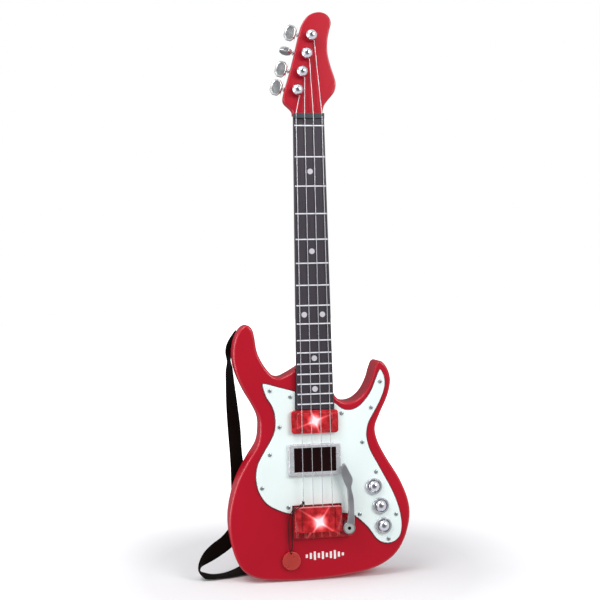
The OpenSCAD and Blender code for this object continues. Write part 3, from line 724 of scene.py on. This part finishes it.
def add_cord(shader):
    path = smooth_path([row(p) for p in CORD_ROUTE], 6)
    cord = curve_piece("pick_lanyard", path, CORD_D / 2, shader)
    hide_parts("pick_cord")
    middle = row(KNOT_AT)
    turns = []
    for k in range(KNOT_STEPS + 1):
        angle = math.tau * KNOT_TURNS * k / KNOT_STEPS
        turns.append(middle + Vector((KNOT_R * math.cos(angle), KNOT_R * math.sin(angle),
                                      KNOT_HEIGHT * (k / KNOT_STEPS - 0.5))))
    ends = [row(CORD_ROUTE[0]), row(CORD_ROUTE[-1])]
    knot = curve_piece("lanyard_knot", smooth_path([ends[0], *turns, ends[1]], 2), KNOT_CORD_R, shader)


# ---------------------------------------------------------------------------------------------
# Strap
# ---------------------------------------------------------------------------------------------
STRAP_W = 0.018
STRAP_T = 0.0014
WARP_PITCH = 0.0012
WEFT_PITCH = 0.0017
# A point on the strap's middle line, then the direction of its width
STRAP_ROUTE = [
    ((-0.0815, 0.0213, 0.290), (-0.8, 0, 0.6)), ((-0.084, 0.0215, 0.287), (-0.8, 0, 0.6)),
    ((-0.089, 0.022, 0.2795), (-0.8, 0, 0.6)),
    ((-0.0935, 0.0245, 0.2705), (-0.75, -0.55, 0.3)), ((-0.0965, 0.027, 0.260), (-0.3, -1, 0)),
    ((-0.0963, 0.0285, 0.248), (-0.5, -0.85, 0)), ((-0.0955, 0.029, 0.230), (-0.62, -0.78, 0)),
    ((-0.094, 0.029, 0.205), (-0.78, -0.62, 0)), ((-0.0918, 0.029, 0.175), (-0.88, -0.47, 0)),
    ((-0.0905, 0.028, 0.147), (-0.85, -0.52, 0)), ((-0.089, 0.027, 0.125), (-0.93, -0.35, 0)),
    ((-0.0883, 0.0263, 0.105), (-1, -0.1, 0)), ((-0.0882, 0.026, 0.085), (-1, 0, 0)),
    ((-0.089, 0.026, 0.068), (-1, 0, 0.12)), ((-0.094, 0.0255, 0.051), (-0.8, 0, 0.5)),
    ((-0.105, 0.023, 0.0395), (-0.5, 0, 0.86)), ((-0.118, 0.018, 0.032), (-0.45, -0.1, 0.9)),
    ((-0.129, 0.014, 0.025), (-0.45, -0.5, 0.7)), ((-0.1365, 0.012, 0.0165), (-0.3, -0.9, 0.35)),
    ((-0.1376, 0.012, 0.0085), (0, -1, 0.1)), ((-0.131, 0.013, 0.0034), (0, -1, -0.1)),
    ((-0.119, 0.015, 0.0016), (0, -1, 0)), ((-0.104, 0.0185, 0.0016), (0, -1, -0.05)),
    ((-0.088, 0.0235, 0.0038), (0, -0.9, -0.3)), ((-0.072, 0.0265, 0.008), (0, -0.4, -0.85)),
    ((-0.054, 0.0255, 0.011), (0, -0.08, -1)), ((-0.032, 0.0232, 0.013), (0, 0, -1)),
    ((-0.009, 0.0216, 0.014), (0, 0, -1)), ((-0.0032, 0.0213, 0.0142), (0, 0, -1))]
STRAP_COLUMNS = 10


def strap_rings(width, thick):
    """Rings of a flat band along the strap's route, and the weave's coordinates of each point."""
    path = smooth_path([row(s[0]) for s in STRAP_ROUTE], 4)
    sides = smooth_path([Vector(s[1]) for s in STRAP_ROUTE], 4)
    rings, laid, run = [], [], 0.0
    for i in range(len(path)):
        along = (path[min(i + 1, len(path) - 1)] - path[max(i - 1, 0)]).normalized()
        side = (sides[i] - sides[i].dot(along) * along).normalized()
        out = along.cross(side)
        run += (path[i] - path[i - 1]).length if i else 0.0
        ring, marks = [], []
        for face in (-1, 1):
            for k in range(STRAP_COLUMNS + 1):
                across = (2 * k / STRAP_COLUMNS - 1) * -face
                half = thick / 2 * (1 - 0.45 * abs(across) ** 8)
                ring.append(path[i] + side * across * width / 2 + out * (face * half))
                marks.append((across * width / 2, run, face * half))
        rings.append(ring)
        laid.append(marks)
    return rings, laid, length_of(path)


def add_strap(shader):
    rings, laid, length = strap_rings(STRAP_W, STRAP_T)
    strap = skin_mesh("shoulder_strap", rings, shader, laid)
    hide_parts("strap")


# ---------------------------------------------------------------------------------------------
# Shells with rounded rims
# ---------------------------------------------------------------------------------------------
# Radii of the rounded rims; SEAM chamfers the joint between two shells
BODY_ROUND = 0.0032
HEAD_ROUND = 0.0018
BOARD_ROUND = 0.0006
ARM_ROUND = 0.0011
BRIDGE_ROUND = 0.0008
SEAM = 0.00025
# The pickguard's slanted edge, and its white ply's thickness
GUARD_BEVEL = 0.0011
PLY = 0.00035
# The whammy arm isn't rounded within this radius of its screw
HUB_R = 0.0074
# The bridge block's face lies behind the saddles and the lip; its base plate is BASE_T thick
LIP_Y = 0.0008
LIP_Z = 0.0115
BASE_T = 0.004
# The painted glow on the bridge cover is centred this far above the middle of its light board
BRIDGE_LED_UP = 0.003


def led_of(node):
    """Tip of the light on a light board."""
    low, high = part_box(node)
    return Vector(((low.x + high.x) / 2, low.y, (low.z + high.z) / 2))


def add_shells(red, white, wood):
    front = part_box("front_body_shell")
    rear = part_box("rear_body_shell")
    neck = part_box("fretboard")
    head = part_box("headstock_shell")
    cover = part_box("headstock_cover")
    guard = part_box("pickguard")
    outline, detail = (0.3, 9), (0.02, 0.3)
    anywhere = lambda point: 1.0
    by_neck = lambda point: 1.0 if point.z < neck[0].z - 0.001 else abs(point.x) - neck[1].x - 0.0004
    off_nut = lambda point: point.z - head[0].z - 0.0003
    rounded_copy("front_body_shell", "body_front", red,
                 [(front[0].y, BODY_ROUND, 7, outline, by_neck), (rear[0].y, SEAM, 1, outline, anywhere)])
    rounded_copy("rear_body_shell", "body_rear", red,
                 [(rear[1].y, BODY_ROUND, 7, outline, anywhere), (rear[1].y, 0.0004, 2, detail, anywhere),
                  (rear[0].y, SEAM, 1, outline, anywhere)])
    rounded_copy("headstock_shell", "headstock_front", red,
                 [(head[0].y, HEAD_ROUND, 5, outline, off_nut), (head[1].y, SEAM, 1, outline, off_nut)])
    rounded_copy("headstock_cover", "headstock_rear", red,
                 [(cover[1].y, HEAD_ROUND, 5, outline, off_nut), (cover[0].y, SEAM, 1, outline, off_nut)])
    rounded_copy("pickguard", "pickguard_sheet", white,
                 [(guard[0].y, GUARD_BEVEL, 1, outline, anywhere)])
    rounded_copy("fretboard", "fingerboard", wood,
                 [(neck[0].y, BOARD_ROUND, 3, outline, anywhere)])
    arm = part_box("whammy_arm")
    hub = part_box("whammy_screw")
    centre = (hub[0] + hub[1]) / 2
    off_hub = lambda point: math.hypot(point.x - centre.x, point.z - centre.z) - HUB_R
    rounded_copy("whammy_arm", "tremolo_arm", silver_paint(),
                 [(arm[0].y, ARM_ROUND, 4, (0.08, 9), off_hub)], "whammy")
    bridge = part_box("bridge_cover")
    led = led_of("bridge_led_board") + Vector((0, 0, BRIDGE_LED_UP))
    above_lip = lambda point: point.z - bridge[0].z - LIP_Z
    rounded_copy("bridge_cover", "bridge_block", lit_cover("clear_red_bridge", led, 0.012, 0.6),
                 [(bridge[0].y + LIP_Y, BRIDGE_ROUND, 3, (0.15, 9), above_lip),
                  (bridge[1].y - BASE_T, BRIDGE_ROUND, 3, (0.2, 0.24), anywhere)])


def dress_nodes(red):
    steel = metal("steel", tint(172, 180, 182), 0.3, (1, 1, 6), 0.1)
    chrome = metal("chrome", tint(222, 223, 230), 0.07, (1, 1, 1), 0.05)
    dark = moulded("dark_plastic", tint(46, 42, 48), 0.38, 0.12, 0.00005)
    grey = moulded("marker_grey", tint(202, 198, 204), 0.34)
    boards = circuit_board()
    for name in ("body_screws", "neck_screws", "headstock_screws", "pickguard_screws",
                 "battery_door_screw"):
        dress(name, steel, 0.00012)
    dress("neck_back", dark, 0.0003)
    dress("frets", moulded("fret_white", tint(232, 232, 238), 0.3), 0.0003, 2)
    dress("fret_markers", grey, 0.00006)
    dress("nut", moulded("nut_grey", tint(52, 62, 68), 0.36, 0.1), 0.0003)
    dress("string_anchor", chrome, 0.0004)
    strings = string_metal()
    keys = pearl()
    for i in range(1, 5):
        dress(f"tuner_post_{i}", chrome, 0.00012)
        dress(f"tuner_key_{i}", keys, 0.0004, 3)
        dress(f"string_{i}", strings)
    dress("neck_pickup_cover", lit_cover("clear_red", led_of("neck_led_board"), 0.0105, -0.35), 0.0007, 3)
    dress("neck_led_board", boards)
    dress("bridge_led_board", boards)
    dress("pickup_frame",
          metal("frame_chrome", tint(230, 231, 234), 0.26, (1, 1, 12), 0.03, metallic=0.5), 0.0004, 3)
    dress("pickup_window", smoked_window(), 0.0002)
    dress("whammy_screw", socket_screw())
    dress("whammy_shaft", moulded("shaft_plastic", tint(214, 214, 208), 0.4, 0.1), 0.0002)
    dress("whammy_spring", steel)
    domes = rubber()
    for i in range(1, 4):
        dress(f"button_{i}", chrome)
        dome = rounded_copy(f"rubber_dome_{i}", f"key_dome_{i}", domes, [])
        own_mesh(dome)
    dress("button_bezels", metal("bezel_metal", tint(206, 208, 214), 0.2, metallic=0.55), 0.00015)
    dress("button_board", boards, 0.0002)
    dress("main_board", boards, 0.0002)
    dress("speaker", moulded("speaker_black", tint(44, 44, 46), 0.6, 0.2, 0.00008))
    dress("batteries", battery_wrap(), 0.0003)
    dress("battery_contacts", metal("contact_brass", tint(208, 186, 120), 0.2), 0.0002)
    dress("battery_door", red, 0.0003)
    dress("power_switch_knob", moulded("black_plastic", tint(30, 29, 29), 0.42, 0.14), 0.0003)
    dress("power_switch_body", metal("switch_can", tint(168, 170, 174), 0.3), 0.0004)
    dress("strap_pegs", chrome, 0.0002)
    dress("strap_slider", moulded("slider_black", tint(26, 25, 25), 0.36, 0.12), 0.0004, 3)
    dress("pick", clear_pick())
    dress("badge_bars", moulded("white_print", tint(240, 240, 238), 0.4), 0.0001, 1)


# ---------------------------------------------------------------------------------------------
# Floor and lights
# ---------------------------------------------------------------------------------------------
FLOOR_SIZE = 30.0
# Distances from the guitar between which the floor brightens into the backdrop
FLOOR_GLOW = (0.2, 0.72)


def add_floor():
    half = FLOOR_SIZE / 2
    z = cad_box[0][2] - 0.0004
    mesh = bpy.data.meshes.new("floor")
    mesh.from_pydata([(-half, -half, z), (half, -half, z), (half, half, z), (-half, half, z)], [],
                     [(0, 1, 2, 3)])
    mesh.materials.append(floor_paint((0, 0.05, z)).material)
    floor = bpy.data.objects.new("floor", mesh)
    bpy.context.scene.collection.objects.link(floor)
    floor.visible_glossy = False
    floor.visible_diffuse = False


def add_softbox(name, at, aim, size, power):
    data = bpy.data.lights.new(name, "AREA")
    data.shape = "RECTANGLE"
    data.size, data.size_y = size
    data.energy = power
    light = bpy.data.objects.new(name, data)
    light.location = at
    light.rotation_euler = (Vector(aim) - Vector(at)).to_track_quat("-Z", "Y").to_euler()
    bpy.context.scene.collection.objects.link(light)


def add_world():
    """White to the eye; as light, bright at the sides and darker in front and behind."""
    world = bpy.data.worlds.new("studio")
    world.use_nodes = True
    tree = world.node_tree
    back = tree.nodes["Background"]
    coords = tree.nodes.new("ShaderNodeTexCoord")
    parts = tree.nodes.new("ShaderNodeSeparateXYZ")
    ramp = tree.nodes.new("ShaderNodeValToRGB")
    turn = tree.nodes.new("ShaderNodeMapRange")
    seen = tree.nodes.new("ShaderNodeLightPath")
    pick = tree.nodes.new("ShaderNodeMix")
    turn.inputs["From Min"].default_value = -1.0
    ramp.color_ramp.elements[0].color = (0.17, 0.18, 0.185, 1)
    ramp.color_ramp.elements[0].position = 0.04
    ramp.color_ramp.elements[1].color = (0.14, 0.14, 0.15, 1)
    ramp.color_ramp.elements.new(0.24).color = (0.95, 0.95, 0.98, 1)
    ramp.color_ramp.elements.new(0.6).color = (0.8, 0.8, 0.82, 1)
    pick.data_type = "RGBA"
    pick.inputs[7].default_value = (1, 1, 1, 1)
    tree.links.new(coords.outputs["Generated"], parts.inputs[0])
    tree.links.new(parts.outputs["Y"], turn.inputs["Value"])
    tree.links.new(turn.outputs["Result"], ramp.inputs["Fac"])
    tree.links.new(ramp.outputs["Color"], pick.inputs[6])
    tree.links.new(seen.outputs["Is Camera Ray"], pick.inputs["Factor"])
    tree.links.new(pick.outputs[2], back.inputs["Color"])
    bpy.context.scene.world = world


def add_lights():
    middle = (0, 0, -0.25)
    add_softbox("key", (1.0, -1.35, 0.5), middle, (0.9, 0.8), 19)
    add_softbox("fill", (-1.35, -0.9, -0.1), middle, (0.6, 1.4), 2)
    add_softbox("side", (-1.5, 0.15, -0.2), middle, (0.7, 1.2), 13)
    add_softbox("top", (-0.75, -0.6, 1.1), middle, (1.0, 0.9), 14)


# ---------------------------------------------------------------------------------------------
# The whole scene
# ---------------------------------------------------------------------------------------------
SMOOTH = smooth_by_angle(SHARP_EDGE)
add_camera()
black = braided_cord()
add_cord(black)
add_strap(webbing())
red = red_plastic()
add_shells(red, white_ply(), fretboard_plastic())
dress_nodes(red)
add_floor()
add_world()
add_lights()
bpy.context.scene.view_settings.view_transform = "Standard"
